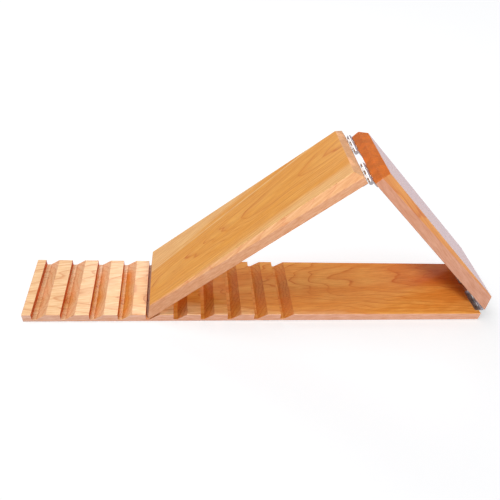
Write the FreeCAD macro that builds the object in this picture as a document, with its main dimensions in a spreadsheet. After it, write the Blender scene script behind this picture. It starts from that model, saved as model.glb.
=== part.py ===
"""Folding slant board: a notched base board, a hinged support panel and a platform panel.

Three varnished boards are joined by four butt hinges. The support panel is hinged to the right
end of the base, the platform panel is hinged to the top of the support, and the platform's
bevelled toe stands in one of the ratchet notches across the base.

Frame: millimetres, +Z up, +X along the base towards its hinges, origin at the centre of the
base's underside. The front side of the board is the one at -Y.
"""
import FreeCAD, Part
import Sketcher
import os

Vector = FreeCAD.Vector
Y_AXIS = Vector(0, 1, 0)

# Every driving size: its name in the sheet, its value in millimetres, and what it is.
SIZES = [
    ("board_width", 158, "width of all three boards"),
    ("base_length", 900, "base board, end to end"),
    ("base_thick", 17.5, "base board thickness"),
    ("support_length", 421, "support panel along its inner face"),
    ("panel_thick", 26.5, "thickness of the support and platform panels"),
    ("edge_round", 1.2, "eased edges of the base board"),
    ("panel_round", 0.8, "eased edges of the two panels"),
    ("notch_count", 10, "number of ratchet notches"),
    ("first_wall", 16.5, "left end of the base to the first notch wall"),
    ("notch_pitch", 51.7, "one notch wall to the next"),
    ("notch_depth", 12.4, "depth of a notch"),
    ("notch_floor", 7.5, "flat floor at the foot of a notch wall"),
    ("ramp_run", 18.9, "length of the ramp from the notch floor up to the land"),
    ("seat_notch", 5, "the notch that the toe stands in, counted from the left"),
    ("toe_clear", 5.8, "notch wall to the foot line of the toe"),
    ("seat_gap", 0.3, "foot line of the toe above the notch floor"),
    ("toe_bevel", 29, "how far the platform's toe is cut back at its outer face"),
    ("toe_blunt", 3, "how much of the sharp toe is taken off, along each face"),
    ("heel_bevel", 26.5, "how far the support's lower end is cut back at its outer face"),
    ("chamfer_inset", 10, "side chamfer at the top end, measured on the outer face"),
    ("chamfer_depth", 12.5, "side chamfer at the top end, measured on the side"),
    ("chamfer_runout", 0.08, "share of the side chamfer left at the far end"),
    ("end_inset", 9, "bevel across the top end, measured on the outer face"),
    ("end_depth", 12.5, "bevel across the top end, measured on the end"),
    ("pin_setback", 4.6, "end of a board to the hinge pin's axis"),
    ("knuckle_radius", 3.8, "outer radius of a hinge barrel"),
    ("pin_radius", 1.9, "radius of a hinge pin"),
    ("pin_clear", 0.06, "radial clearance of a pin in its knuckles"),
    ("hinge_length", 57, "length of a hinge along its pin"),
    ("base_hinge_inset", 9, "side of the board to the end of a base hinge"),
    ("top_hinge_inset", 2, "side of the board to the end of a top hinge"),
    ("leaf_width", 15, "pin axis to the free edge of a leaf"),
    ("leaf_thick", 1.7, "thickness of a leaf"),
    ("leaf_round", 3, "corner radius of a leaf"),
    ("knuckle_gap", 0.3, "gap between neighbouring knuckles"),
    ("knuckle_clear", 0.5, "barrel to the plate of the other leaf"),
    ("screw_near", 8.4, "pin axis to the middle screw"),
    ("screw_far", 10.2, "pin axis to the two outer screws"),
    ("screw_spread", 19, "middle screw to an outer screw, along the pin"),
    ("shank_radius", 1.75, "screw shank"),
    ("head_radius", 3.4, "screw head"),
    ("screw_length", 12, "screw in the wood, to the start of its point"),
    ("screw_tip", 2.5, "length of a screw's point"),
    ("screw_clear", 0.05, "clearance round a screw"),
    ("slot_width", 0.7, "driver slot in a screw head"),
    ("slot_depth", 0.7, "depth of the driver slot"),
]

KNUCKLES = 5                 # knuckles in one hinge, shared three and two
SIDES = {"front": -1, "back": 1}

doc = FreeCAD.newDocument("SlantBoard")
node_objects = []


# --- sheet, layout and small helpers -------------------------------------------------------------

def make_sheet():
    """Write every driving size into the document's sheet under its own name."""
    sheet = doc.addObject("Spreadsheet::Sheet", "Sizes")
    for row, (name, value, note) in enumerate(SIZES, start=1):
        sheet.set(f"A{row}", note)
        sheet.set(f"B{row}", str(value))
        sheet.setAlias(f"B{row}", name)
    doc.recompute()
    return sheet


def size(name):
    """Value of a driving size, or of a place in the layout."""
    owner = sheet if sheet.getCellFromAlias(name) else layout
    value = getattr(owner, name)
    return float(value.Value) if hasattr(value, "Value") else float(value)


def make_layout():
    """Work out where the pins, the foot line and the tilted panels lie.

    The base pin, the top pin and the foot line are the corners of a triangle whose three sides
    are known, so both tilts follow from the law of cosines.
    """
    layout = doc.addObject("App::VarSet", "Layout")

    def place(name, formula, kind="App::PropertyFloat"):
        layout.addProperty(kind, name, "Layout", "")
        layout.setExpression(name, formula)
        doc.recompute()

    angle = "App::PropertyAngle"
    place("pin_x", "Sizes.base_length / 2 + Sizes.pin_setback")
    place("pin_z", "Sizes.base_thick + Sizes.knuckle_radius")
    place("foot_x", "Sizes.first_wall + (Sizes.seat_notch - 1) * Sizes.notch_pitch"
                    " + Sizes.toe_clear - Sizes.base_length / 2")
    place("foot_z", "Sizes.base_thick - Sizes.notch_depth + Sizes.seat_gap")
    place("platform_length", "Sizes.base_length - Sizes.support_length - 2 * Sizes.pin_setback")
    place("support_arm", "Sizes.support_length + 2 * Sizes.pin_setback")
    place("toe_reach", "platform_length + Sizes.pin_setback - Sizes.toe_blunt")
    place("platform_arm", "sqrt(toe_reach ^ 2 + Sizes.knuckle_radius ^ 2)")
    place("foot_span", "sqrt((pin_x - foot_x) ^ 2 + (pin_z - foot_z) ^ 2)")
    place("foot_dip", "atan((pin_z - foot_z) / (pin_x - foot_x))", angle)
    place("support_tilt", "acos((support_arm ^ 2 + foot_span ^ 2 - platform_arm ^ 2)"
                          " / (2 * support_arm * foot_span)) - foot_dip", angle)
    place("platform_tilt", "acos((platform_arm ^ 2 + foot_span ^ 2 - support_arm ^ 2)"
                           " / (2 * platform_arm * foot_span)) + foot_dip"
                           " + atan(Sizes.knuckle_radius / toe_reach)", angle)
    place("top_x", "pin_x - support_arm * cos(support_tilt)")
    place("top_z", "pin_z + support_arm * sin(support_tilt)")
    place("knuckle_length",
          f"(Sizes.hinge_length - {KNUCKLES - 1} * Sizes.knuckle_gap) / {KNUCKLES}")
    for row in ("base_hinge", "top_hinge"):
        place(f"{row}_y", f"(Sizes.board_width - Sizes.hinge_length) / 2 - Sizes.{row}_inset")
    place("plate_start", "Sizes.knuckle_radius + Sizes.knuckle_clear")
    return layout


def bind(obj, **formulas):
    """Bind properties of an object to the sheet; a double underscore stands for a dot."""
    for name, formula in formulas.items():
        path = name.replace("__", ".")
        obj.setExpression("." + path if "." in path else path, formula)


def move(obj, x="0", y="0", z="0"):
    """Bind the place of an object, leaving its rotation as it is."""
    bind(obj, Placement__Base__x=x, Placement__Base__y=y, Placement__Base__z=z)


def turn(obj, formula):
    """Turn an object about +Y by a bound angle."""
    obj.Placement = FreeCAD.Placement(Vector(0, 0, 0), FreeCAD.Rotation(Y_AXIS, 1))
    obj.setExpression(".Placement.Rotation.Angle", formula)


def keep(obj, label):
    """Name a finished piece; its label is also the name of its file."""
    obj.Label = label
    node_objects.append(obj)
    return obj


# --- helpers for the wooden boards ---------------------------------------------------------------

def new_sketch(body, name, role, offset=None):
    """Sketch on one of the body's own origin planes, moved along the plane's normal."""
    sketch = body.newObject("Sketcher::SketchObject", name)
    plane = next(o for o in body.Origin.OriginFeatures if o.Role == role)
    sketch.AttachmentSupport = [(plane, "")]
    sketch.MapMode = "FlatFace"
    if offset is not None:
        sketch.setExpression(".AttachmentOffset.Base.z", offset)
    return sketch


def hold_point(sketch, geometry, position, x, y):
    """Fix a sketch point at two bound distances from the sketch's origin."""
    for kind, formula in (("DistanceX", x), ("DistanceY", y)):
        index = sketch.addConstraint(Sketcher.Constraint(kind, -1, 1, geometry, position, 1.0))
        sketch.setExpression(f"Constraints[{index}]", formula)


def value_of(formula):
    """Present value of a formula written in the sheet's and the layout's names."""
    return float(sheet.evalExpression(formula))


def draw_polygon(sketch, corners):
    """Closed outline whose corners are pairs of formulas."""
    points = [Vector(value_of(x), value_of(y), 0) for x, y in corners]
    count = len(points)
    for i in range(count):
        sketch.addGeometry(Part.LineSegment(points[i], points[(i + 1) % count]))
    for i in range(count):
        sketch.addConstraint(Sketcher.Constraint("Coincident", i, 2, (i + 1) % count, 1))
    for i, (x, y) in enumerate(corners):
        hold_point(sketch, i, 1, x, y)


def draw_circles(sketch, centres, radius):
    """Equal circles at pairs of formulas."""
    for i, (x, y) in enumerate(centres):
        centre = Vector(value_of(x), value_of(y), 0)
        sketch.addGeometry(Part.Circle(centre, Vector(0, 0, 1), value_of(radius)))
        hold_point(sketch, i, 3, x, y)
        index = sketch.addConstraint(Sketcher.Constraint("Radius", i, 1.0))
        sketch.setExpression(f"Constraints[{index}]", radius)


def pad_across(body, sketch):
    """Make a side view as wide as the board, evenly about its middle."""
    pad = body.newObject("PartDesign::Pad", "Board")
    pad.Profile = sketch
    pad.SideType = "Symmetric"
    pad.setExpression("Length", "Sizes.board_width")
    doc.recompute()
    return pad


def pocket_across(body, sketch, name):
    """Cut a side view right across the board."""
    pocket = body.newObject("PartDesign::Pocket", name)
    pocket.Profile = sketch
    pocket.SideType = "Symmetric"
    pocket.setExpression("Length", "Sizes.board_width + 10")
    doc.recompute()
    return pocket


def round_all_edges(body, feature, radius):
    """Ease every edge of a feature."""
    fillet = body.newObject("PartDesign::Fillet", "EasedEdges")
    fillet.Base = (feature, [])
    fillet.UseAllEdges = True
    fillet.setExpression("Radius", radius)
    doc.recompute()
    return fillet


def screw_places(row, pin, direction):
    """Screw centres of a row of two hinges at one end of a board, as pairs of formulas.

    pin is the place of the pin's axis along the board, and direction is +1 where the leaves
    lie on the side of larger x from it.
    """
    sign = "+" if direction > 0 else "-"
    places = []
    for side in SIDES.values():
        middle = f"{side} * Layout.{row}_y"
        places.append((f"{pin} {sign} Sizes.screw_near", middle))
        for step in (-1, 1):
            places.append((f"{pin} {sign} Sizes.screw_far",
                           f"{middle} + {step} * Sizes.screw_spread"))
    return places


def drill(body, places, depth_sign, offset="0"):
    """Pilot holes from an inner face; depth_sign is +1 where the wood lies above the face."""
    sketch = new_sketch(body, "PilotHoles", "XY_Plane", offset)
    draw_circles(sketch, places, "Sizes.shank_radius + Sizes.screw_clear")
    pocket = body.newObject("PartDesign::Pocket", "Pilots")
    pocket.Profile = sketch
    pocket.Reversed = depth_sign > 0
    pocket.setExpression("Length", "Sizes.screw_length + Sizes.screw_tip + 0.4")
    doc.recompute()
    return pocket


# --- the three boards ----------------------------------------------------------------------------

def make_base_board():
    """Base board with its ratchet notches; it is drawn from its left end."""
    body = doc.addObject("PartDesign::Body", "BaseBoard")
    outline = new_sketch(body, "SideView", "XZ_Plane")
    draw_polygon(outline, [("0", "0"), ("Sizes.base_length", "0"),
                           ("Sizes.base_length", "Sizes.base_thick"), ("0", "Sizes.base_thick")])
    pad = pad_across(body, outline)
    round_all_edges(body, pad, "Sizes.edge_round")

    notch = new_sketch(body, "NotchView", "XZ_Plane")
    wall = "Sizes.first_wall"
    floor = "Sizes.base_thick - Sizes.notch_depth"
    slope = "Sizes.notch_depth / Sizes.ramp_run"
    ramp_start = f"{wall} + Sizes.notch_floor"
    ramp_end = f"{ramp_start} + Sizes.ramp_run"
    draw_polygon(notch, [(wall, f"{floor}"), (ramp_start, f"{floor}"),
                         (f"{ramp_end} + 2", f"Sizes.base_thick + 2 * {slope}"),
                         (wall, f"Sizes.base_thick + 2 * {slope}")])
    cut = pocket_across(body, notch, "Notch")
    row = body.newObject("PartDesign::LinearPattern", "Notches")
    row.Originals = [cut]
    row.Direction = (next(o for o in body.Origin.OriginFeatures if o.Role == "X_Axis"), [""])
    row.setExpression("Length", "(Sizes.notch_count - 1) * Sizes.notch_pitch")
    row.setExpression("Occurrences", "Sizes.notch_count")
    body.Tip = row
    doc.recompute()

    pin = "Sizes.base_length + Sizes.pin_setback"
    drill(body, screw_places("base_hinge", pin, -1), -1, "Sizes.base_thick")
    move(body, x="-Sizes.base_length / 2")
    return keep(body, "base_board")


def cut_side_chamfers(body, wide_end, fine_end):
    """Tapered chamfers along both sides of the outer face, widest at the top end.

    wide_end and fine_end are places along the board. Each chamfer is one plane, so its outline
    is a straight line on the outer face and another on the side.
    """
    half = "Sizes.board_width / 2"
    top = "Sizes.panel_thick"
    spare = "0.2"            # the cut reaches this share of the chamfer past both faces

    def section(name, place, share):
        sketch = new_sketch(body, name, "YZ_Plane", place)
        inset = f"{share} * Sizes.chamfer_inset"
        depth = f"{share} * Sizes.chamfer_depth"
        out = f"{half} + {spare} * {inset}"
        up = f"{top} + {spare} * {depth}"
        draw_polygon(sketch, [(f"{half} - {inset} - {spare} * {inset}", up), (out, up),
                              (out, f"{top} - {depth} - {spare} * {depth}")])
        return sketch

    wide = section("WideSection", wide_end, "1")
    fine = section("FineSection", fine_end, "Sizes.chamfer_runout")
    loft = body.newObject("PartDesign::SubtractiveLoft", "SideChamfer")
    loft.Profile = wide
    loft.Sections = [fine]
    loft.Ruled = True
    doc.recompute()
    mirrored = body.newObject("PartDesign::Mirrored", "SideChamfers")
    mirrored.Originals = [loft]
    mirrored.MirrorPlane = (next(o for o in body.Origin.OriginFeatures if o.Role == "XZ_Plane"), [""])
    body.Tip = mirrored
    doc.recompute()
    return mirrored


def make_support_panel():
    """Support panel, drawn flat: x runs from its top end to its hinge end at the base."""
    body = doc.addObject("PartDesign::Body", "SupportPanel")
    outline = new_sketch(body, "SideView", "XZ_Plane")
    draw_polygon(outline, [("0", "0"), ("Sizes.support_length", "0"),
                           ("Sizes.support_length - Sizes.heel_bevel", "Sizes.panel_thick"),
                           ("Sizes.end_inset", "Sizes.panel_thick"),
                           ("0", "Sizes.panel_thick - Sizes.end_depth")])
    pad_across(body, outline)
    chamfered = cut_side_chamfers(body, "0", "Sizes.support_length")
    round_all_edges(body, chamfered, "Sizes.panel_round")
    places = screw_places("top_hinge", "-Sizes.pin_setback", 1)
    places += screw_places("base_hinge", "Sizes.support_length + Sizes.pin_setback", -1)
    drill(body, places, 1)
    turn(body, "Layout.support_tilt")
    move(body,
         x="Layout.top_x + Sizes.pin_setback * cos(Layout.support_tilt)"
           " + Sizes.knuckle_radius * sin(Layout.support_tilt)",
         z="Layout.top_z - Sizes.pin_setback * sin(Layout.support_tilt)"
           " + Sizes.knuckle_radius * cos(Layout.support_tilt)")
    return keep(body, "support_panel")


def make_platform_panel():
    """Platform panel, drawn flat: x runs from its bevelled toe to its top end."""
    body = doc.addObject("PartDesign::Body", "PlatformPanel")
    end = "Layout.platform_length"
    slant = "sqrt(Sizes.toe_bevel ^ 2 + Sizes.panel_thick ^ 2)"
    outline = new_sketch(body, "SideView", "XZ_Plane")
    draw_polygon(outline, [("Sizes.toe_blunt", "0"), (end, "0"),
                           (end, "Sizes.panel_thick - Sizes.end_depth"),
                           (f"{end} - Sizes.end_inset", "Sizes.panel_thick"),
                           ("Sizes.toe_bevel", "Sizes.panel_thick"),
                           (f"Sizes.toe_blunt * Sizes.toe_bevel / {slant}",
                            f"Sizes.toe_blunt * Sizes.panel_thick / {slant}")])
    pad_across(body, outline)
    chamfered = cut_side_chamfers(body, end, "0")
    round_all_edges(body, chamfered, "Sizes.panel_round")
    drill(body, screw_places("top_hinge", f"{end} + Sizes.pin_setback", -1), 1)
    turn(body, "-Layout.platform_tilt")
    reach = f"({end} + Sizes.pin_setback)"
    move(body,
         x=f"Layout.top_x - {reach} * cos(Layout.platform_tilt)"
           " - Sizes.knuckle_radius * sin(Layout.platform_tilt)",
         z=f"Layout.top_z - {reach} * sin(Layout.platform_tilt)"
           " + Sizes.knuckle_radius * cos(Layout.platform_tilt)")
    return keep(body, "platform_panel")


# --- butt hinges ---------------------------------------------------------------------------------
# A hinge is drawn about its own pin: the pin lies along Y, the wood is on the +Z side of a leaf,
# and the leaf's mounting face is one barrel radius from the axis.

def box(name, x, y, z, length, width, height):
    """Box with bound corner and sizes."""
    obj = doc.addObject("Part::Box", name)
    bind(obj, Length=length, Width=width, Height=height)
    move(obj, x, y, z)
    return obj


def rod(name, radius, length, start):
    """Cylinder along +Y that starts at y = start."""
    obj = doc.addObject("Part::Cylinder", name)
    obj.Placement = FreeCAD.Placement(Vector(0, 0, 0), FreeCAD.Rotation(Vector(1, 0, 0), -90))
    bind(obj, Radius=radius, Height=length)
    move(obj, y=start)
    return obj


def upright_cone(name, x, y, z, low_radius, high_radius, height):
    """Cone or cylinder along +Z that starts at z."""
    obj = doc.addObject("Part::Cone", name)
    bind(obj, Radius1=low_radius, Radius2=high_radius, Height=height)
    move(obj, x, y, z)
    return obj


def upright_rod(name, x, y, z, radius, height):
    """Cylinder along +Z that starts at z."""
    obj = doc.addObject("Part::Cylinder", name)
    bind(obj, Radius=radius, Height=height)
    move(obj, x, y, z)
    return obj


def fuse(name, parts):
    """Fuse several shapes into one."""
    obj = doc.addObject("Part::MultiFuse", name)
    obj.Shapes = parts
    obj.Refine = True
    return obj


def cut(name, body, tool):
    """Cut one shape with another."""
    obj = doc.addObject("Part::Cut", name)
    obj.Base = body
    obj.Tool = tool
    return obj


def leaf_screw_places(direction):
    """The three screw centres of one leaf in the hinge's own frame."""
    sign = "" if direction > 0 else "-"
    far = f"{sign}Sizes.screw_far"
    return [(f"{sign}Sizes.screw_near", "0"), (far, "-Sizes.screw_spread"), (far, "Sizes.screw_spread")]


def leaf_plate(name, direction):
    """Flat plate of a leaf with two rounded free corners."""
    width = "Sizes.leaf_width - Layout.plate_start"
    start = "Layout.plate_start" if direction > 0 else "-Sizes.leaf_width"
    flat = box(f"{name}_flat", start, "-Sizes.hinge_length / 2",
               "Sizes.knuckle_radius - Sizes.leaf_thick", width, "Sizes.hinge_length",
               "Sizes.leaf_thick")
    doc.recompute()
    free_x = direction * size("leaf_width")
    corners = [i for i, edge in enumerate(flat.Shape.Edges, start=1)
               if abs(edge.BoundBox.XLength) < 1e-6 and abs(edge.BoundBox.YLength) < 1e-6
               and abs(edge.BoundBox.XMin - free_x) < 1e-6]
    radius = size("leaf_round")
    rounded = doc.addObject("Part::Fillet", f"{name}_plate")
    rounded.Base = flat
    rounded.Edges = [(i, radius, radius) for i in corners]
    return rounded


def make_leaf(label, direction, knuckles):
    """Leaf with its own knuckles; direction is the side of the pin that the plate is on."""
    solids = [leaf_plate(label, direction)]
    tongue_x = "0" if direction > 0 else "-(Layout.plate_start + 1)"
    for k in knuckles:
        start = f"{k} * (Layout.knuckle_length + Sizes.knuckle_gap) - Sizes.hinge_length / 2"
        solids.append(rod(f"{label}_knuckle{k}", "Sizes.knuckle_radius", "Layout.knuckle_length",
                          start))
        solids.append(box(f"{label}_tongue{k}", tongue_x, start,
                          "Sizes.knuckle_radius - Sizes.leaf_thick", "Layout.plate_start + 1",
                          "Layout.knuckle_length", "Sizes.leaf_thick"))
    tools = [rod(f"{label}_bore", "Sizes.pin_radius + Sizes.pin_clear", "Sizes.hinge_length + 2",
                 "-Sizes.hinge_length / 2 - 1")]
    for i, (x, y) in enumerate(leaf_screw_places(direction)):
        tools.append(upright_cone(f"{label}_sink{i}", x, y, "Sizes.knuckle_radius - Sizes.leaf_thick",
                                  "Sizes.head_radius + Sizes.screw_clear",
                                  "Sizes.shank_radius + Sizes.screw_clear", "Sizes.leaf_thick"))
    return cut(f"{label}_leaf", fuse(f"{label}_solid", solids), fuse(f"{label}_holes", tools))


def make_screw(name, x, y):
    """Countersunk wood screw with a cross slot, its head flush with the leaf."""
    head_z = "Sizes.knuckle_radius - Sizes.leaf_thick"
    tip_z = "Sizes.knuckle_radius + Sizes.screw_length"
    head = upright_cone(f"{name}_head", x, y, head_z, "Sizes.head_radius", "Sizes.shank_radius",
                        "Sizes.leaf_thick")
    shank = upright_rod(f"{name}_shank", x, y, "Sizes.knuckle_radius", "Sizes.shank_radius",
                        "Sizes.screw_length")
    tip = upright_cone(f"{name}_tip", x, y, tip_z, "Sizes.shank_radius", "0.2 * Sizes.shank_radius",
                       "Sizes.screw_tip")
    long = "1.3 * Sizes.head_radius"
    wide = "Sizes.slot_width"
    slots = []
    for i, (length, width) in enumerate(((long, wide), (wide, long))):
        slots.append(box(f"{name}_slot{i}", f"{x} - {length} / 2", f"{y} - {width} / 2",
                         f"{head_z} - 1", length, width, "Sizes.slot_depth + 1"))
    return cut(name, fuse(f"{name}_solid", [head, shank, tip]), fuse(f"{name}_cross", slots))


def make_screws(label, direction):
    """The three screws of one leaf, as one group of separate solids."""
    group = doc.addObject("Part::Compound", f"{label}_screws")
    group.Links = [make_screw(f"{label}_screw{i}", x, y)
                   for i, (x, y) in enumerate(leaf_screw_places(direction))]
    return group


def seat(obj, tilt, x, y, z):
    """Put a piece drawn about the pin onto its hinge."""
    if tilt:
        turn(obj, tilt)
    move(obj, x, y, z)


def make_hinge(name, x, y, z, leaves):
    """One butt hinge: two leaves, their screws and the pin.

    leaves holds, for each leaf, its name, its tilt about +Y, the side of the pin that its plate
    lies on, and the knuckles it owns, counted from the front.
    """
    for leaf_name, tilt, direction, knuckles in leaves:
        label = f"{name}_{leaf_name}"
        leaf = make_leaf(label, direction, knuckles)
        screws = make_screws(label, direction)
        for piece, kind in ((leaf, "leaf"), (screws, "screws")):
            seat(piece, tilt, x, y, z)
            keep(piece, f"{label}_{kind}")
    pin = rod(f"{name}_rod", "Sizes.pin_radius", "Sizes.hinge_length", "-Sizes.hinge_length / 2")
    move(pin, x, f"{y} - Sizes.hinge_length / 2", z)
    keep(pin, f"{name}_pin")


def make_hinges():
    """Two hinges between base and support, and two between support and platform."""
    outer = [0, 2, 4]
    inner = [1, 3]
    for side_name, side in SIDES.items():
        make_hinge(f"base_hinge_{side_name}", "Layout.pin_x", f"{side} * Layout.base_hinge_y",
                   "Layout.pin_z",
                   [("base", "180", 1, outer), ("support", "Layout.support_tilt", -1, inner)])
        make_hinge(f"top_hinge_{side_name}", "Layout.top_x", f"{side} * Layout.top_hinge_y",
                   "Layout.top_z",
                   [("support", "Layout.support_tilt", 1, outer),
                    ("platform", "-Layout.platform_tilt", -1, inner)])


# --- checks and export ---------------------------------------------------------------------------

def check_document():
    """Stop if any object failed or any piece is empty or not valid."""
    for obj in doc.Objects:
        if "Invalid" in obj.State or "Error" in obj.State:
            raise RuntimeError(f"{obj.Name} failed: {obj.State}")
    for obj in node_objects:
        if obj.Shape.isNull() or not obj.Shape.isValid() or obj.Shape.Volume < 1:
            raise RuntimeError(f"{obj.Label} has no valid shape")


def export_pieces():
    """Write each piece to its own file."""
    os.makedirs("parts", exist_ok=True)
    for obj in node_objects:
        obj.Shape.exportStep(f"parts/{obj.Label}.step")


sheet = make_sheet()
layout = make_layout()
make_base_board()
make_support_panel()
make_platform_panel()
make_hinges()
doc.recompute()
check_document()
export_pieces()
print(f"{len(node_objects)} pieces; support tilt {size('support_tilt'):.2f} deg,"
      f" platform tilt {size('platform_tilt'):.2f} deg, top pin at x {size('top_x'):.2f},"
      f" z {size('top_z'):.2f}")
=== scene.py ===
"""Folding wooden slant board: finishes for its boards and hinges, and the studio it stands in."""
import math

import bpy
from mathutils import Matrix, Vector

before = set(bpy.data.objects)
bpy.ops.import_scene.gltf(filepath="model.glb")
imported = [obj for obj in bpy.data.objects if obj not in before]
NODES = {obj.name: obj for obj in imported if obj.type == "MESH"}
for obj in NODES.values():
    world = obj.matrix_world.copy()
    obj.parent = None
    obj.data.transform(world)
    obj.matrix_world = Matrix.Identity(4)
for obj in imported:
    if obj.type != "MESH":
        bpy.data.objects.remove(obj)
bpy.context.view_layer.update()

bl_info = {
    "name": "Slant Board",
    "version": (1, 0, 0),
    "blender": (4, 5, 0),
    "location": "View3D > Sidebar > Slant Board",
    "description": "Finishes the boards, hinges and screws of a folding slant board",
    "category": "Object",
}

MM_PER_M = 1000.0
WHITE = (1.0, 1.0, 1.0, 1.0)

# Growth rings. Trunks aren't round: slow waves along the grain and across it bend the rings.
WAVE_LENGTH = 210.0  # mm along the grain
WAVE_WIDTH = 42.0  # mm across the grain
WAVE_HEIGHT = 15.0  # mm from crest to trough
SPELL_YEARS = 5.0  # a wet or dry spell lasts about five rings
SPELL_DRIFT = 3.0  # rings that the spells shift the count by, at most
# How much late wood there is at each share of a year's growth.
RING_TONES = [(0.0, 0.2), (0.5, 0.1), (0.85, 0.4), (0.95, 1.0), (1.0, 0.2)]

# Tones of the wood; a share is how much of a colour is laid over the rest.
CLOUD_SHARE = 0.8
CLOUD_STRETCH = 8.0  # a soft band is this many times as long as it is wide
# Painted shade: redder wood near the log's heart darkens the base's end under the support.
PAINTED_SHADE_SHARE = 0.8
PAINTED_SHADE_FADE = 22.0  # mm
# Pale sapwood; on the base board it also paints the light that falls on the left end.
SAPWOOD_AND_LIGHT_SHARE = 0.85
SAPWOOD_AND_LIGHT_FADE = 15.0  # mm
SAPWOOD_AND_LIGHT_RINGS = 0.55  # how much of its late wood sapwood shows
STREAK_COLOUR = "#F2C889"
STREAK_PLACE = 48.0  # mm from the log's heart, across the board
STREAK_CORE = 0.4  # mm each side of its middle, at full strength
STREAK_REACH = 2.4  # mm each side, where it ends

# A face is a cut by how squarely it faces along the grain, and gets a painted reflection by how
# squarely it faces the board's side; both are cosines.
CUT_START = 0.38
CUT_FULL = 0.85
CUT_SHARE = 0.95
CUT_MOTTLE = (0.84, 1.18)  # brightness of the cut's darkest and palest patches
SIDE_SHEEN_FULL = 0.98
SIDE_SHEEN_SHARE = 0.8

# What dense and loose fibres keep of the wood's red, green and blue, and pores of its brightness.
DENSE_FIBRE = (0.9, 0.74, 0.6, 1.0)
LOOSE_FIBRE = (1.12, 1.16, 1.22, 1.0)
PORE_TONE = 0.88
PORE_LENGTH = 9.0  # mm
PORE_WIDTH = 0.8  # mm; real ones are 0.1 mm wide and wouldn't show

# Surface of the wood and its coat. Late wood and dense fibres stand proud under the coat.
GRAIN_RELIEF = 0.00012  # m
GRAIN_STRENGTH = 0.35
RING_RELIEF = 0.4  # height of late wood, as a share of the fibres' height
WOOD_ROUGHNESS = (0.42, 0.56)
WOOD_GLOSS = 0.15  # what the coat leaves of the wood's own gloss
BRUSH_SPACING = 6.0  # mm between brush marks in the varnish
BRUSH_RELIEF = 0.00025  # m
BRUSH_STRENGTH = 0.12
VARNISH_IOR = 1.5
CUT_COAT = 0.15  # share of the varnish that stays on a cut, where it sinks in

# Surface of the plating, from one crystal to the next.
PLATING_RELIEF = 0.00003  # m
PLATING_STRENGTH = 0.2
PLATING_ROUGHNESS = (0.8, 1.35)  # of the roughness that the user sets
PLATING_TONE = 0.86  # brightness of the dullest crystals

# The studio, in metres.
LENS_SENSOR = 36.0  # mm
FLOOR_REACH = 7.0
FLOOR_DROP = 0.0003  # keeps the paper clear of the board's underside
FLOOR_GLOW = 0.65
KEY_PLACE = (0.55, -2.1, 1.3)
KEY_AIM = (0.0, 0.0, 0.1)
BACK_PLACE = (-0.45, 1.52, 1.42)
BACK_AIM = (-0.25, 0.0, 0.0)
SOFT_BOX_SIZE = 0.6
SIDE_LIGHT_WAY = (0.56, 0.0, -0.83)


# ---------------------------------------------------------------- helpers


def linear(colour):
    """Turns an sRGB hex colour such as "#D9A05B" into linear red, green, blue and alpha."""
    parts = [int(colour[i:i + 2], 16) / 255.0 for i in (1, 3, 5)]
    return tuple(c / 12.92 if c <= 0.04045 else ((c + 0.055) / 1.055) ** 2.4
                 for c in parts) + (1.0,)


def colour_prop(name, description, colour):
    """A colour that the user can change, given as sRGB hex."""
    return bpy.props.FloatVectorProperty(name=name, description=description, subtype="COLOR",
                                         size=4, min=0.0, max=1.0, default=linear(colour))


def length_prop(name, description, millimetres):
    """A length that the user can change, in millimetres."""
    return bpy.props.FloatProperty(name=name, description=description, min=0.01,
                                   default=millimetres)


def offset_prop(name, description, millimetres):
    """A distance to either side that the user can change, in millimetres."""
    return bpy.props.FloatProperty(name=name, description=description, default=millimetres)


def angle_prop(name, description, degrees):
    """An angle that the user can change."""
    return bpy.props.FloatProperty(name=name, description=description, subtype="ANGLE",
                                   unit="ROTATION", default=math.radians(degrees))


def share_prop(name, description, share):
    """A share from none to all."""
    return bpy.props.FloatProperty(name=name, description=description, subtype="FACTOR",
                                   min=0.0, max=1.0, default=share)


def power_prop(name, description, watts):
    """A lamp's power that the user can change."""
    return bpy.props.FloatProperty(name=name, description=description, subtype="POWER",
                                   unit="POWER", default=watts)


def strength_prop(name, description, strength):
    """The strength of light from all over the studio."""
    return bpy.props.FloatProperty(name=name, description=description, min=0.0, default=strength)


def new_material(name):
    """A material with an empty node tree, and that tree."""
    material = bpy.data.materials.new(name)
    material.use_nodes = True
    material.node_tree.nodes.clear()
    return material, material.node_tree


def add_node(tree, kind, values=None, links=None, **settings):
    """Adds a node with its settings, the values of its free sockets and the links into it."""
    node = tree.nodes.new(kind)
    for name, setting in settings.items():
        setattr(node, name, setting)
    for socket, value in (values or {}).items():
        node.inputs[socket].default_value = value
    for socket, source in (links or {}).items():
        tree.links.new(source, node.inputs[socket])
    return node


def set_stops(ramp, stops):
    """Gives a colour ramp its (position, grey level) stops."""
    elements = ramp.color_ramp.elements
    while len(elements) < len(stops):
        elements.new(0.5)  # anywhere; its place is set below
    for element, (position, grey) in zip(elements, stops):
        element.position = position
        element.color = (grey, grey, grey, 1.0)


def give_material(names, material):
    """Puts one material on every slot of the named nodes."""
    for name in names:
        mesh = NODES[name].data
        mesh.materials.clear()
        mesh.materials.append(material)


def nodes_ending(ending):
    """The nodes whose names end in this word."""
    return sorted(name for name in NODES if name.endswith(ending))


def lay_flat(name):
    """A board's tilt about its cross axis, and its middle and top in mm once it lies flat."""
    mesh = NODES[name].data
    areas = {}
    for face in mesh.polygons:
        direction = tuple(round(part, 3) for part in face.normal)
        areas[direction] = areas.get(direction, 0.0) + face.area
    normal = Vector(max(areas, key=areas.get))
    if normal.z < 0:
        normal.negate()
    tilt = math.atan2(normal.x, normal.z)
    flat = Matrix.Rotation(-tilt, 3, "Y")
    points = [flat @ vertex.co * MM_PER_M for vertex in mesh.vertices]
    middle = (min(p.x for p in points) + max(p.x for p in points)) / 2.0
    return tilt, middle, max(p.z for p in points)


# ---------------------------------------------------------------- what a user can change


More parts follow.
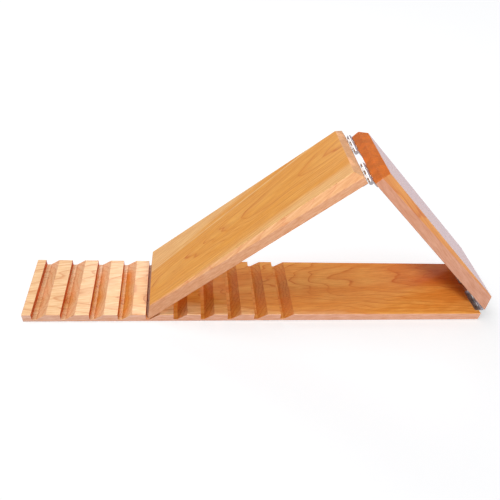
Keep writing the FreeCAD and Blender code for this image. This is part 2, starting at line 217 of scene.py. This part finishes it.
class BoardWood:
    """Sizes and colours that every board has; a board gives its own where its wood differs."""

    fibre_width: length_prop("Fibre width", "Width of a fine streak along the grain, in mm", 2.2)
    fibre_length: length_prop("Fibre length", "Length of a fine streak, in mm", 170.0)
    cloud_size: length_prop("Cloud size", "Width of the soft bands in the colour, in mm", 26.0)
    # Painted reflection: faces turned to the board's side get a paler, pinker colour.
    side_sheen_start: share_prop("Edge start", "Lean of a face at which it starts to look planed", 0.72)
    # Sapwood is paler; on the base board it also paints the light that falls on its left end.
    sapwood_and_light: colour_prop("Sapwood", "Pale young wood under the log's bark", "#FFDCAC")
    sapwood_and_light_start: length_prop("Sapwood start", "Radius of the log where sapwood starts, in mm", 400.0)
    # Painted shade: this redder colour lays the support's shade on the base board's right end.
    heart: colour_prop("Heartwood", "Redder old wood inside the log", "#C44A04")
    painted_shade_end: length_prop("Heartwood end", "Radius of the log where heartwood ends, in mm", 1.0)


class BaseWoodLook(BoardWood, bpy.types.PropertyGroup):
    """The notched base board."""

    early: colour_prop("Early wood", "Pale part of each year's growth", "#EFAE56")
    late: colour_prop("Late wood", "Dark line that ends each year's growth", "#CE701E")
    cloud: colour_prop("Cloud", "Soft bands of deeper colour", "#DF8A32")
    # Painted reflection of the white studio on the base board's side faces.
    edge: colour_prop("Edge", "Planed edges, which take less stain", "#E2B09A")
    cut: colour_prop("Cut", "Cuts across the grain, which drink more varnish", "#C05008")
    varnish: share_prop("Varnish", "How much of the clear coat is left on the wood", 0.35)
    varnish_roughness: share_prop("Varnish roughness", "Roughness of the clear coat", 0.2)
    streak: share_prop("Pale streak", "Strength of one pale streak along the grain", 0.0)
    # Painted light: past this radius the base board's left end is paled, where the light falls.
    sapwood_and_light_start: length_prop("Sapwood start", "Radius of the log where sapwood starts, in mm", 211.0)
    # Painted shade: the base is redder where the log is narrower than this, at its right end.
    painted_shade_end: length_prop("Heartwood end", "Radius of the log where heartwood ends, in mm", 186.0)
    ring_width: length_prop("Ring width", "Width of one year's growth, in mm", 4.6)
    pith_depth: length_prop("Pith depth", "Depth of the log's heart under the face, in mm", 200.0)
    pith_side: offset_prop("Pith side", "Heart off the board's middle, in mm", -12.0)
    dive: angle_prop("Dive", "Slope of the grain through the thickness", 4.2)
    skew: angle_prop("Skew", "Slope of the grain across the face", -5.0)


class PlatformWoodLook(BoardWood, bpy.types.PropertyGroup):
    """The platform panel, whose toe stands in a notch."""

    early: colour_prop("Early wood", "Pale part of each year's growth", "#EDB052")
    late: colour_prop("Late wood", "Dark line that ends each year's growth", "#D0741C")
    cloud: colour_prop("Cloud", "Soft bands of deeper colour", "#E49C38")
    # Painted reflection of the white studio on the platform's sides and chamfers.
    edge: colour_prop("Edge", "Planed edges, which take less stain", "#DAA282")
    side_sheen_start: share_prop("Edge start", "Lean of a face at which it starts to look planed", 0.45)
    cut: colour_prop("Cut", "Cuts across the grain, paler on this board", "#EEB888")
    varnish: share_prop("Varnish", "How much of the clear coat is left on the wood", 0.3)
    varnish_roughness: share_prop("Varnish roughness", "Roughness of the clear coat", 0.3)
    streak: share_prop("Pale streak", "Strength of one pale streak along the grain", 0.85)
    sapwood_and_light: colour_prop("Sapwood", "Pale young wood under the log's bark", "#F3C684")
    sapwood_and_light_start: length_prop("Sapwood start", "Radius of the log where sapwood starts, in mm", 77.0)
    ring_width: length_prop("Ring width", "Width of one year's growth, in mm", 3.4)
    pith_depth: length_prop("Pith depth", "Depth of the log's heart under the face, in mm", 58.0)
    pith_side: offset_prop("Pith side", "Heart off the board's middle, in mm", 4.0)
    dive: angle_prop("Dive", "Slope of the grain through the thickness", 2.8)
    skew: angle_prop("Skew", "Slope of the grain across the face", -8.0)


class SupportWoodLook(BoardWood, bpy.types.PropertyGroup):
    """The support panel, hinged to the base and to the platform."""

    early: colour_prop("Early wood", "Pale part of each year's growth", "#DE9A42")
    late: colour_prop("Late wood", "Dark line that ends each year's growth", "#C87428")
    cloud: colour_prop("Cloud", "Soft bands of deeper colour", "#D0843A")
    # Painted reflection of the white studio on the support panel's side faces.
    edge: colour_prop("Edge", "Planed edges, which take less stain", "#D29A80")
    cut: colour_prop("Cut", "Cuts across the grain, which drink more varnish", "#CC6A10")
    varnish: share_prop("Varnish", "How much of the clear coat is left on the wood", 1.0)
    varnish_roughness: share_prop("Varnish roughness", "Roughness of the clear coat", 0.2)
    streak: share_prop("Pale streak", "Strength of one pale streak along the grain", 0.0)
    ring_width: length_prop("Ring width", "Width of one year's growth, in mm", 3.0)
    pith_depth: length_prop("Pith depth", "Depth of the log's heart under the face, in mm", 70.0)
    pith_side: offset_prop("Pith side", "Heart off the board's middle, in mm", 18.0)
    dive: angle_prop("Dive", "Slope of the grain through the thickness", -2.4)
    skew: angle_prop("Skew", "Slope of the grain across the face", 4.0)


class HingeLook(bpy.types.PropertyGroup):
    """The four butt hinges' steel and their screws."""

    leaf: colour_prop("Leaf", "Zinc-plated strip steel", "#C6C0B6")
    pin: colour_prop("Pin", "Drawn steel wire", "#BEB8AE")
    screw: colour_prop("Screw", "Nickel-plated steel", "#B6B2AA")
    roughness: share_prop("Roughness", "Roughness of the plating", 0.33)
    spangle: length_prop("Spangle", "Size of the plating's crystals, in mm", 1.6)


class StudioLook(bpy.types.PropertyGroup):
    """The camera, the lamps and the paper floor."""

    camera_place: bpy.props.FloatVectorProperty(
        name="Camera place", description="Where the camera stands", subtype="TRANSLATION",
        unit="LENGTH", default=(-0.15925, -0.76104, 0.72052))
    camera_yaw: angle_prop("Camera yaw", "Camera's turn from straight back to the right", 10.53)
    camera_pitch: angle_prop("Camera pitch", "How far the camera looks down", 43.76)
    camera_roll: angle_prop("Camera roll", "Camera's turn about its own line of sight", 7.33)
    lens: bpy.props.FloatProperty(
        name="Lens", description="Focal length for a 36 mm sensor", subtype="DISTANCE_CAMERA",
        unit="CAMERA", default=36.86)
    camera_shift: bpy.props.FloatProperty(
        name="Shift", description="Upward shift of the frame", default=0.1)
    key_power: power_prop("Key lamp", "Power of the lamp at the front right", 48.0)
    back_power: power_prop("Back lamp", "Power of the lamp whose gloss the lands show", 7.0)
    side_strength: strength_prop("Side light", "Strength of the light from the upper left", 1.85)
    side_spread: angle_prop("Side light spread", "Width of that light, for soft shadows", 50.0)
    ambient: strength_prop("Room light", "Strength of the room's own light", 0.06)
    paper: colour_prop("Paper", "Pale paper floor", "#CACBCE")
    sheen: colour_prop("Room in gloss", "Colour of the room in gloss and metal", "#D4D4F0")


# ---------------------------------------------------------------- materials


def add_log_place(tree, look, name):
    """Nodes for a point's place in the board and in its log, in mm, and for its face's lean."""
    tilt, middle, top = lay_flat(name)
    rest = add_node(tree, "ShaderNodeTexCoord")
    board = add_node(tree, "ShaderNodeMapping",
                     {"Location": (-middle, 0.0, -top), "Rotation": (0.0, -tilt, 0.0),
                      "Scale": (MM_PER_M,) * 3},
                     {"Vector": rest.outputs["Object"]})
    # The log's heart runs nearly along the board, so its rings meet the face as pointed arches.
    log = add_node(tree, "ShaderNodeMapping",
                   {"Location": (0.0, look.pith_side, look.pith_depth),
                    "Rotation": (0.0, look.dive, look.skew)},
                   {"Vector": board.outputs["Vector"]})
    facing = add_node(tree, "ShaderNodeMapping", {"Rotation": (0.0, -tilt, 0.0)},
                      {"Vector": rest.outputs["Normal"]}, vector_type="NORMAL")
    return board.outputs["Vector"], log.outputs["Vector"], facing.outputs["Vector"]


def add_rings(tree, look, log):
    """Nodes for the rings, 0 in early wood and 1 in the line of late wood, and their radius."""
    slow = add_node(tree, "ShaderNodeMapping",
                    {"Scale": (1 / WAVE_LENGTH, 1 / WAVE_WIDTH, 1 / WAVE_WIDTH)}, {"Vector": log})
    wave = add_node(tree, "ShaderNodeTexNoise", {"Scale": 1.0, "Detail": 2.0, "Roughness": 0.45},
                    {"Vector": slow.outputs["Vector"]})
    push = add_node(tree, "ShaderNodeVectorMath",
                    {1: (0.0, WAVE_HEIGHT, WAVE_HEIGHT),
                     2: (0.0, -WAVE_HEIGHT / 2, -WAVE_HEIGHT / 2)},
                    {0: wave.outputs["Color"]}, operation="MULTIPLY_ADD")
    bent = add_node(tree, "ShaderNodeVectorMath", links={0: log, 1: push.outputs["Vector"]},
                    operation="ADD")
    across = add_node(tree, "ShaderNodeVectorMath", {1: (0.0, 1.0, 1.0)},
                      {0: bent.outputs["Vector"]}, operation="MULTIPLY")
    radius = add_node(tree, "ShaderNodeVectorMath", links={0: across.outputs["Vector"]},
                      operation="LENGTH")
    years = add_node(tree, "ShaderNodeMath", {1: look.ring_width},
                     {0: radius.outputs["Value"]}, operation="DIVIDE")
    weather = add_node(tree, "ShaderNodeTexNoise", {"Scale": 1 / SPELL_YEARS, "Detail": 1.0},
                       {"W": years.outputs[0]}, noise_dimensions="1D")
    drift = add_node(tree, "ShaderNodeMath", {1: SPELL_DRIFT},
                     {0: weather.outputs["Fac"], 2: years.outputs[0]}, operation="MULTIPLY_ADD")
    part = add_node(tree, "ShaderNodeMath", links={0: drift.outputs[0]}, operation="FRACT")
    ramp = add_node(tree, "ShaderNodeValToRGB", links={"Fac": part.outputs[0]})
    set_stops(ramp, RING_TONES)
    return ramp.outputs["Color"], radius.outputs["Value"]


def add_fibres(tree, look, log):
    """Nodes for fine streaks and for pores along the grain; a cut across it shows specks."""
    per_width = 1 / look.fibre_width
    stretch = add_node(tree, "ShaderNodeMapping",
                       {"Scale": (1 / look.fibre_length, per_width, per_width)},
                       {"Vector": log})
    streaks = add_node(tree, "ShaderNodeTexNoise",
                       {"Scale": 1.0, "Detail": 3.0, "Roughness": 0.6, "Distortion": 0.2},
                       {"Vector": stretch.outputs["Vector"]})
    pore_place = add_node(tree, "ShaderNodeMapping",
                          {"Scale": (1 / PORE_LENGTH, 1 / PORE_WIDTH, 1 / PORE_WIDTH)},
                          {"Vector": log})
    pores = add_node(tree, "ShaderNodeTexNoise", {"Scale": 1.0, "Detail": 1.0},
                     {"Vector": pore_place.outputs["Vector"]})
    # Only the peaks of the noise are pores.
    sharp = add_node(tree, "ShaderNodeMapRange", {"From Min": 0.6, "From Max": 0.75},
                     {"Value": pores.outputs["Fac"]})
    return streaks.outputs["Fac"], sharp.outputs["Result"]


def add_clouds(tree, look, log):
    """Nodes for the soft bands of deeper colour along the grain."""
    per_width = 1 / look.cloud_size
    place = add_node(tree, "ShaderNodeMapping",
                     {"Scale": (per_width / CLOUD_STRETCH, per_width, per_width)},
                     {"Vector": log})
    clouds = add_node(tree, "ShaderNodeTexNoise", {"Scale": 1.0, "Detail": 2.0, "Roughness": 0.5},
                      {"Vector": place.outputs["Vector"]})
    spread = add_node(tree, "ShaderNodeMapRange", {"From Min": 0.36, "From Max": 0.66},
                      {"Value": clouds.outputs["Fac"]}, interpolation_type="SMOOTHSTEP")
    return spread.outputs["Result"]


def add_wood_tone(tree, look, log, rings, radius, clouds):
    """Nodes for the colour along the grain: rings, bands, sapwood, painted shade and light."""
    ringed = add_node(tree, "ShaderNodeMix", {6: look.early, 7: look.late}, {0: rings},
                      data_type="RGBA")
    cloudy = add_node(tree, "ShaderNodeMath", {1: CLOUD_SHARE}, {0: clouds}, operation="MULTIPLY")
    toned = add_node(tree, "ShaderNodeMix", {7: look.cloud},
                     {0: cloudy.outputs[0], 6: ringed.outputs[2]}, data_type="RGBA")

    # Painted shade: the wood is made redder towards the log's heart, on the base's right end.
    old = add_node(tree, "ShaderNodeMapRange",
                   {"From Min": look.painted_shade_end, "From Max": look.painted_shade_end - PAINTED_SHADE_FADE,
                    "To Max": PAINTED_SHADE_SHARE},
                   {"Value": radius}, interpolation_type="SMOOTHSTEP")
    shade_painted = add_node(tree, "ShaderNodeMix", {7: look.heart},
                       {0: old.outputs["Result"], 6: toned.outputs[2]}, data_type="RGBA")

    # Sapwood is paler than the rest, and its rings show less.
    # On the base board this also paints the light that falls on its left end.
    young = add_node(tree, "ShaderNodeMapRange",
                     {"From Min": look.sapwood_and_light_start, "From Max": look.sapwood_and_light_start + SAPWOOD_AND_LIGHT_FADE,
                      "To Max": SAPWOOD_AND_LIGHT_SHARE},
                     {"Value": radius}, interpolation_type="SMOOTHSTEP")
    soft_rings = add_node(tree, "ShaderNodeMath", {1: SAPWOOD_AND_LIGHT_RINGS}, {0: rings},
                          operation="MULTIPLY")
    sapwood_and_light = add_node(tree, "ShaderNodeMix", {6: look.sapwood_and_light, 7: look.late}, {0: soft_rings.outputs[0]},
                   data_type="RGBA")
    aged = add_node(tree, "ShaderNodeMix",
                    links={0: young.outputs["Result"], 6: shade_painted.outputs[2], 7: sapwood_and_light.outputs[2]},
                    data_type="RGBA")

    # One narrow pale streak runs with the grain.
    place = add_node(tree, "ShaderNodeSeparateXYZ", links={"Vector": log})
    off = add_node(tree, "ShaderNodeMath", {1: STREAK_PLACE}, {0: place.outputs["Y"]},
                   operation="SUBTRACT")
    away = add_node(tree, "ShaderNodeMath", links={0: off.outputs[0]}, operation="ABSOLUTE")
    pale = add_node(tree, "ShaderNodeMapRange",
                    {"From Min": STREAK_REACH, "From Max": STREAK_CORE, "To Max": look.streak},
                    {"Value": away.outputs[0]}, interpolation_type="SMOOTHSTEP")
    streaked = add_node(tree, "ShaderNodeMix", {7: linear(STREAK_COLOUR)},
                        {0: pale.outputs["Result"], 6: aged.outputs[2]}, data_type="RGBA")
    return streaked.outputs[2]


def add_face_tone(tree, look, facing, clouds, tone):
    """Nodes for stained cuts across the grain, a painted side reflection and how much is a cut."""
    sides = add_node(tree, "ShaderNodeSeparateXYZ", links={"Vector": facing})
    # A cut across the grain drinks varnish: fully at a square cut, little on a shallow ramp.
    along = add_node(tree, "ShaderNodeMath", links={0: sides.outputs["X"]}, operation="ABSOLUTE")
    endways = add_node(tree, "ShaderNodeMapRange",
                       {"From Min": CUT_START, "From Max": CUT_FULL, "To Max": CUT_SHARE},
                       {"Value": along.outputs[0]}, interpolation_type="SMOOTHSTEP")
    # It drinks unevenly, so the cut is mottled by about a sixth.
    patchy = add_node(tree, "ShaderNodeMapRange",
                      {"To Min": CUT_MOTTLE[0], "To Max": CUT_MOTTLE[1]}, {"Value": clouds})
    soaked = add_node(tree, "ShaderNodeVectorMath", {0: look.cut[:3]},
                      {"Scale": patchy.outputs["Result"]}, operation="SCALE")
    cut = add_node(tree, "ShaderNodeMix",
                   links={0: endways.outputs["Result"], 6: tone, 7: soaked.outputs["Vector"]},
                   data_type="RGBA")
    # Painted reflection: faces turned to the board's side get a paler, pinker colour.
    sideways = add_node(tree, "ShaderNodeMath", links={0: sides.outputs["Y"]},
                        operation="ABSOLUTE")
    side_sheen_mask = add_node(tree, "ShaderNodeMapRange",
                        {"From Min": look.side_sheen_start, "From Max": SIDE_SHEEN_FULL,
                         "To Max": SIDE_SHEEN_SHARE},
                        {"Value": sideways.outputs[0]}, interpolation_type="SMOOTHSTEP")
    side_sheened = add_node(tree, "ShaderNodeMix", {7: look.edge},
                     {0: side_sheen_mask.outputs["Result"], 6: cut.outputs[2]}, data_type="RGBA")
    return side_sheened.outputs[2], endways.outputs["Result"]


def add_fibre_tone(tree, streaks, pores, tone):
    """Nodes that darken and redden the dense fibres, and darken the pores a little."""
    dense = add_node(tree, "ShaderNodeMapRange", {"From Min": 0.3, "From Max": 0.7},
                     {"Value": streaks})
    tint = add_node(tree, "ShaderNodeMix", {6: DENSE_FIBRE, 7: LOOSE_FIBRE},
                    {0: dense.outputs["Result"]}, data_type="RGBA")
    streaky = add_node(tree, "ShaderNodeVectorMath", links={0: tone, 1: tint.outputs[2]},
                       operation="MULTIPLY")
    shade = add_node(tree, "ShaderNodeMapRange", {"To Min": 1.0, "To Max": PORE_TONE},
                     {"Value": pores})
    colour = add_node(tree, "ShaderNodeVectorMath",
                      links={0: streaky.outputs["Vector"], "Scale": shade.outputs["Result"]},
                      operation="SCALE")
    return colour.outputs["Vector"]


def varnished_alder(name, look):
    """Honey alder, planed, sanded and brushed with clear varnish.

    The eye sees pale arches lined with thin darker lines, fine streaks along the grain, deeper
    colour where the wood is cut across, and a smooth coat that mirrors the room at a low angle.
    """
    material, tree = new_material("alder_varnished_" + name)
    board, log, facing = add_log_place(tree, look, name)
    rings, radius = add_rings(tree, look, log)
    streaks, pores = add_fibres(tree, look, log)
    clouds = add_clouds(tree, look, log)
    wood = add_wood_tone(tree, look, log, rings, radius, clouds)
    faced, cut = add_face_tone(tree, look, facing, clouds, wood)
    colour = add_fibre_tone(tree, streaks, pores, faced)

    relief = add_node(tree, "ShaderNodeMath", {1: RING_RELIEF}, {0: rings, 2: streaks},
                      operation="MULTIPLY_ADD")
    grain_bump = add_node(tree, "ShaderNodeBump",
                          {"Strength": GRAIN_STRENGTH, "Distance": GRAIN_RELIEF},
                          {"Height": relief.outputs[0]})
    brushed = add_node(tree, "ShaderNodeTexNoise", {"Scale": 1 / BRUSH_SPACING, "Detail": 1.0},
                       {"Vector": board})
    coat_bump = add_node(tree, "ShaderNodeBump",
                         {"Strength": BRUSH_STRENGTH, "Distance": BRUSH_RELIEF},
                         {"Height": brushed.outputs["Fac"]})
    rough = add_node(tree, "ShaderNodeMapRange",
                     {"To Min": WOOD_ROUGHNESS[0], "To Max": WOOD_ROUGHNESS[1]},
                     {"Value": streaks})
    coat = add_node(tree, "ShaderNodeMapRange",
                    {"To Min": look.varnish, "To Max": look.varnish * CUT_COAT}, {"Value": cut})

    shader = add_node(tree, "ShaderNodeBsdfPrincipled",
                      {"IOR": VARNISH_IOR, "Specular IOR Level": WOOD_GLOSS,
                       "Coat Roughness": look.varnish_roughness, "Coat IOR": VARNISH_IOR},
                      {"Base Color": colour, "Roughness": rough.outputs["Result"],
                       "Coat Weight": coat.outputs["Result"],
                       "Normal": grain_bump.outputs["Normal"],
                       "Coat Normal": coat_bump.outputs["Normal"]})
    add_node(tree, "ShaderNodeOutputMaterial", links={"Surface": shader.outputs["BSDF"]})
    return material


def plated_steel(name, colour, look):
    """Mild steel, stamped or drawn and then plated.

    The eye sees a pale metal with a soft mirror, slightly mottled by the plating's crystals.
    """
    material, tree = new_material(name)
    rest = add_node(tree, "ShaderNodeTexCoord")
    place = add_node(tree, "ShaderNodeMapping", {"Scale": (MM_PER_M / look.spangle,) * 3},
                     {"Vector": rest.outputs["Object"]})
    crystals = add_node(tree, "ShaderNodeTexVoronoi", {"Scale": 1.0},
                        {"Vector": place.outputs["Vector"]})
    haze = add_node(tree, "ShaderNodeTexNoise", {"Scale": 0.5, "Detail": 4.0},
                    {"Vector": place.outputs["Vector"]})
    mottle = add_node(tree, "ShaderNodeMath",
                      links={0: crystals.outputs["Color"], 1: haze.outputs["Fac"]},
                      operation="MULTIPLY")
    rough = add_node(tree, "ShaderNodeMapRange",
                     {"To Min": look.roughness * PLATING_ROUGHNESS[0],
                      "To Max": look.roughness * PLATING_ROUGHNESS[1]},
                     {"Value": mottle.outputs[0]})
    tone = add_node(tree, "ShaderNodeMapRange", {"To Min": 1.0, "To Max": PLATING_TONE},
                    {"Value": mottle.outputs[0]})
    plated = add_node(tree, "ShaderNodeVectorMath", {0: colour[:3]},
                      {"Scale": tone.outputs["Result"]}, operation="SCALE")
    bump = add_node(tree, "ShaderNodeBump",
                    {"Strength": PLATING_STRENGTH, "Distance": PLATING_RELIEF},
                    {"Height": haze.outputs["Fac"]})
    shader = add_node(tree, "ShaderNodeBsdfPrincipled", {"Metallic": 1.0},
                      {"Base Color": plated.outputs["Vector"],
                       "Roughness": rough.outputs["Result"], "Normal": bump.outputs["Normal"]})
    add_node(tree, "ShaderNodeOutputMaterial", links={"Surface": shader.outputs["BSDF"]})
    return material


# ---------------------------------------------------------------- the pieces


class SLANTBOARD_OT_base_board(bpy.types.Operator):
    """Varnish the notched base board"""

    bl_idname = "slantboard.base_board"
    bl_label = "Base Board"

    def execute(self, context):
        look = context.scene.slantboard_base
        give_material(["base_board"], varnished_alder("base_board", look))
        return {"FINISHED"}


class SLANTBOARD_OT_support_panel(bpy.types.Operator):
    """Varnish the support panel hinged to the base"""

    bl_idname = "slantboard.support_panel"
    bl_label = "Support Panel"

    def execute(self, context):
        look = context.scene.slantboard_support
        give_material(["support_panel"], varnished_alder("support_panel", look))
        return {"FINISHED"}


class SLANTBOARD_OT_platform_panel(bpy.types.Operator):
    """Varnish the platform panel whose toe stands in a notch"""

    bl_idname = "slantboard.platform_panel"
    bl_label = "Platform Panel"

    def execute(self, context):
        look = context.scene.slantboard_platform
        give_material(["platform_panel"], varnished_alder("platform_panel", look))
        return {"FINISHED"}


class SLANTBOARD_OT_hinge_leaves(bpy.types.Operator):
    """Plate the leaves and knuckles of the four hinges"""

    bl_idname = "slantboard.hinge_leaves"
    bl_label = "Hinge Leaves"

    def execute(self, context):
        look = context.scene.slantboard_hinges
        steel = plated_steel("zinc_plated_strip_steel", look.leaf, look)
        give_material(nodes_ending("_leaf"), steel)
        return {"FINISHED"}


class SLANTBOARD_OT_hinge_pins(bpy.types.Operator):
    """Finish the four hinge pins"""

    bl_idname = "slantboard.hinge_pins"
    bl_label = "Hinge Pins"

    def execute(self, context):
        look = context.scene.slantboard_hinges
        steel = plated_steel("drawn_steel_wire", look.pin, look)
        give_material(nodes_ending("_pin"), steel)
        return {"FINISHED"}


class SLANTBOARD_OT_hinge_screws(bpy.types.Operator):
    """Finish the countersunk screws of the four hinges"""

    bl_idname = "slantboard.hinge_screws"
    bl_label = "Hinge Screws"

    def execute(self, context):
        look = context.scene.slantboard_hinges
        steel = plated_steel("nickel_plated_screw_steel", look.screw, look)
        give_material(nodes_ending("_screws"), steel)
        return {"FINISHED"}


# ---------------------------------------------------------------- the studio


def seen_directly(tree):
    """1 for camera, gloss and clear-glass rays, which see the bare studio, and 0 for its light."""
    path = add_node(tree, "ShaderNodeLightPath")
    seen = add_node(tree, "ShaderNodeMath",
                    links={0: path.outputs["Is Camera Ray"], 1: path.outputs["Is Glossy Ray"]},
                    operation="MAXIMUM")
    both = add_node(tree, "ShaderNodeMath",
                    links={0: seen.outputs[0], 1: path.outputs["Is Transmission Ray"]},
                    operation="MAXIMUM")
    return path, both.outputs[0]


def lay_floor(look):
    """A wide sheet of pale paper, which keeps the board's shadow."""
    mesh = bpy.data.meshes.new("studio_floor")
    corners = [(-1, -1), (1, -1), (1, 1), (-1, 1)]
    mesh.from_pydata([(x * FLOOR_REACH, y * FLOOR_REACH, -FLOOR_DROP) for x, y in corners],
                     [], [(0, 1, 2, 3)])
    floor = bpy.data.objects.new("studio_floor", mesh)
    bpy.context.scene.collection.objects.link(floor)
    material, tree = new_material("matt_studio_paper")
    paper = add_node(tree, "ShaderNodeBsdfDiffuse", {"Color": look.paper})
    path, seen = seen_directly(tree)
    tint = add_node(tree, "ShaderNodeMix", {6: WHITE, 7: look.sheen},
                    {0: path.outputs["Is Glossy Ray"]}, data_type="RGBA")
    lift = add_node(tree, "ShaderNodeMath", {1: FLOOR_GLOW}, {0: seen}, operation="MULTIPLY")
    glow = add_node(tree, "ShaderNodeEmission",
                    links={"Color": tint.outputs[2], "Strength": lift.outputs[0]})
    lit = add_node(tree, "ShaderNodeAddShader",
                   links={0: paper.outputs["BSDF"], 1: glow.outputs["Emission"]})
    add_node(tree, "ShaderNodeOutputMaterial", links={"Surface": lit.outputs["Shader"]})
    mesh.materials.append(material)
    return floor


def light_room(look):
    """Soft light from all round, and plain white where the room itself is seen."""
    world = bpy.data.worlds.new("studio_room")
    world.use_nodes = True
    tree = world.node_tree
    tree.nodes.clear()
    path, seen = seen_directly(tree)
    room = add_node(tree, "ShaderNodeBackground", {"Color": WHITE, "Strength": look.ambient})
    tint = add_node(tree, "ShaderNodeMix", {6: WHITE, 7: look.sheen},
                    {0: path.outputs["Is Glossy Ray"]}, data_type="RGBA")
    white = add_node(tree, "ShaderNodeBackground", {"Strength": 1.0}, {"Color": tint.outputs[2]})
    either = add_node(tree, "ShaderNodeMixShader",
                      links={0: seen, 1: room.outputs["Background"],
                             2: white.outputs["Background"]})
    add_node(tree, "ShaderNodeOutputWorld", links={"Surface": either.outputs["Shader"]})
    bpy.context.scene.world = world


def hang_lamp(name, place, aim, power):
    """A square soft box at a place, facing a point of the board."""
    lamp = bpy.data.lights.new(name, "AREA")
    lamp.size = SOFT_BOX_SIZE
    lamp.energy = power
    holder = bpy.data.objects.new(name, lamp)
    holder.location = place
    holder.rotation_euler = (Vector(aim) - Vector(place)).to_track_quat("-Z", "Y").to_euler()
    bpy.context.scene.collection.objects.link(holder)
    return holder


def light_evenly(look):
    """Broad light from the upper left, equally strong all over the floor."""
    light = bpy.data.lights.new("side_light", "SUN")
    light.energy = look.side_strength
    light.angle = look.side_spread
    holder = bpy.data.objects.new("side_light", light)
    holder.rotation_euler = Vector(SIDE_LIGHT_WAY).to_track_quat("-Z", "Y").to_euler()
    bpy.context.scene.collection.objects.link(holder)


def spare_floor(lamp, floor):
    """Keeps a lamp off the floor, so that it throws no long shadow on the paper."""
    spared = bpy.data.collections.new(lamp.name + "_spares")
    spared.objects.link(floor)
    spared.collection_objects[0].light_linking.link_state = "EXCLUDE"
    lamp.light_linking.receiver_collection = spared


def set_camera(look):
    """The camera in front of the board and above it."""
    yaw, pitch, roll = look.camera_yaw, look.camera_pitch, look.camera_roll
    ahead = Vector((math.sin(yaw) * math.cos(pitch), math.cos(yaw) * math.cos(pitch),
                    -math.sin(pitch)))
    right = Vector((math.cos(yaw), -math.sin(yaw), 0.0))
    up = right.cross(ahead)
    right, up = (right * math.cos(roll) + up * math.sin(roll),
                 up * math.cos(roll) - right * math.sin(roll))
    data = bpy.data.cameras.new("studio_camera")
    data.sensor_width = LENS_SENSOR
    data.lens = look.lens
    data.shift_y = look.camera_shift
    camera = bpy.data.objects.new("studio_camera", data)
    turn = Matrix((right, up, -ahead)).transposed().to_4x4()
    camera.matrix_world = Matrix.Translation(look.camera_place) @ turn
    bpy.context.scene.collection.objects.link(camera)
    bpy.context.scene.camera = camera


class SLANTBOARD_OT_studio(bpy.types.Operator):
    """Set up the camera, the lamps, the room and the floor"""

    bl_idname = "slantboard.studio"
    bl_label = "Studio"

    def execute(self, context):
        look = context.scene.slantboard_studio
        set_camera(look)
        floor = lay_floor(look)
        light_room(look)
        key = hang_lamp("key_soft_box", KEY_PLACE, KEY_AIM, look.key_power)
        hang_lamp("back_soft_box", BACK_PLACE, BACK_AIM, look.back_power)
        light_evenly(look)
        spare_floor(key, floor)
        context.scene.view_settings.view_transform = "Standard"
        return {"FINISHED"}


# ---------------------------------------------------------------- the sidebar and the run


PIECES = (
    SLANTBOARD_OT_base_board,
    SLANTBOARD_OT_support_panel,
    SLANTBOARD_OT_platform_panel,
    SLANTBOARD_OT_hinge_leaves,
    SLANTBOARD_OT_hinge_pins,
    SLANTBOARD_OT_hinge_screws,
    SLANTBOARD_OT_studio,
)
LOOKS = {
    "slantboard_base": BaseWoodLook,
    "slantboard_support": SupportWoodLook,
    "slantboard_platform": PlatformWoodLook,
    "slantboard_hinges": HingeLook,
    "slantboard_studio": StudioLook,
}


class SLANTBOARD_PT_sidebar(bpy.types.Panel):
    """Sizes, colours and steps of the slant board"""

    bl_idname = "SLANTBOARD_PT_sidebar"
    bl_label = "Slant Board"
    bl_space_type = "VIEW_3D"
    bl_region_type = "UI"
    bl_category = "Slant Board"

    def draw(self, context):
        for piece in PIECES:
            self.layout.operator(piece.bl_idname)
        for scene_name, look_class in LOOKS.items():
            look = getattr(context.scene, scene_name)
            box = self.layout.box()
            box.label(text=look_class.__doc__)
            for prop in look.bl_rna.properties:
                if not prop.is_readonly and prop.identifier != "name":
                    box.prop(look, prop.identifier)


def register():
    """Adds the property groups, the steps and the panel."""
    for scene_name, look_class in LOOKS.items():
        bpy.utils.register_class(look_class)
        setattr(bpy.types.Scene, scene_name, bpy.props.PointerProperty(type=look_class))
    for piece in PIECES:
        bpy.utils.register_class(piece)
    bpy.utils.register_class(SLANTBOARD_PT_sidebar)


def unregister():
    """Takes them away again."""
    bpy.utils.unregister_class(SLANTBOARD_PT_sidebar)
    for piece in reversed(PIECES):
        bpy.utils.unregister_class(piece)
    for scene_name, look_class in LOOKS.items():
        delattr(bpy.types.Scene, scene_name)
        bpy.utils.unregister_class(look_class)


def main():
    """Runs every step in order."""
    register()
    bpy.ops.slantboard.base_board()
    bpy.ops.slantboard.support_panel()
    bpy.ops.slantboard.platform_panel()
    bpy.ops.slantboard.hinge_leaves()
    bpy.ops.slantboard.hinge_pins()
    bpy.ops.slantboard.hinge_screws()
    bpy.ops.slantboard.studio()


if __name__ == "__main__":
    main()
